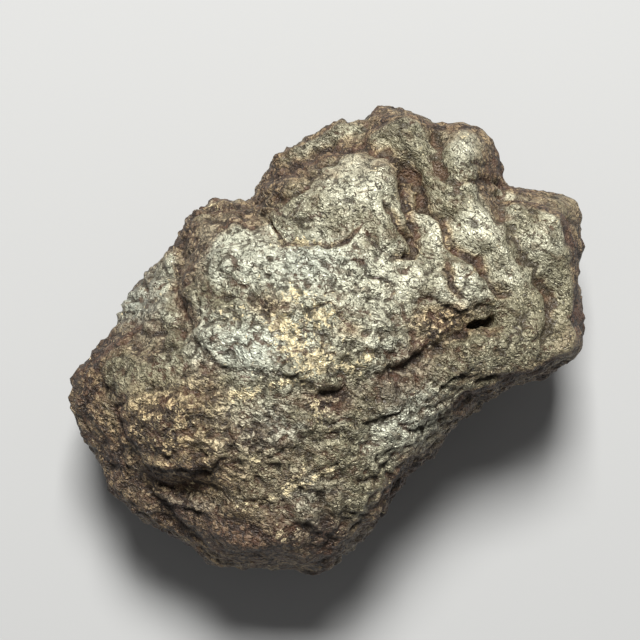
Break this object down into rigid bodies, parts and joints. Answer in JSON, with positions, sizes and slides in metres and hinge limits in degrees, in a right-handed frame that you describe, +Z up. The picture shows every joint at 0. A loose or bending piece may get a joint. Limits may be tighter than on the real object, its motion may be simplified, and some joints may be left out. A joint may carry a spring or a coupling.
{
  "type": "ureilite meteorite",
  "caption": "Natural stony meteorite, a hand specimen with a rounded dome, folded lobes, a slit hole and a crumpled crust, lying on a small flat spot on its back.",
  "frame": {"origin": "middle of the stone's footprint box, on the surface it rests on", "axes": "+Z up, away from the resting spot and out of the side with the dome and the folds; +X along the longest extent, towards the right lobe; +Y towards the dome and the top lobes"},
  "size_m": [0.0598, 0.0548, 0.034],
  "materials": {
    "crust": "satin"
  },
  "bodies": {
    "root": {"meteorite": "crust"}
  },
  "joints": []
}
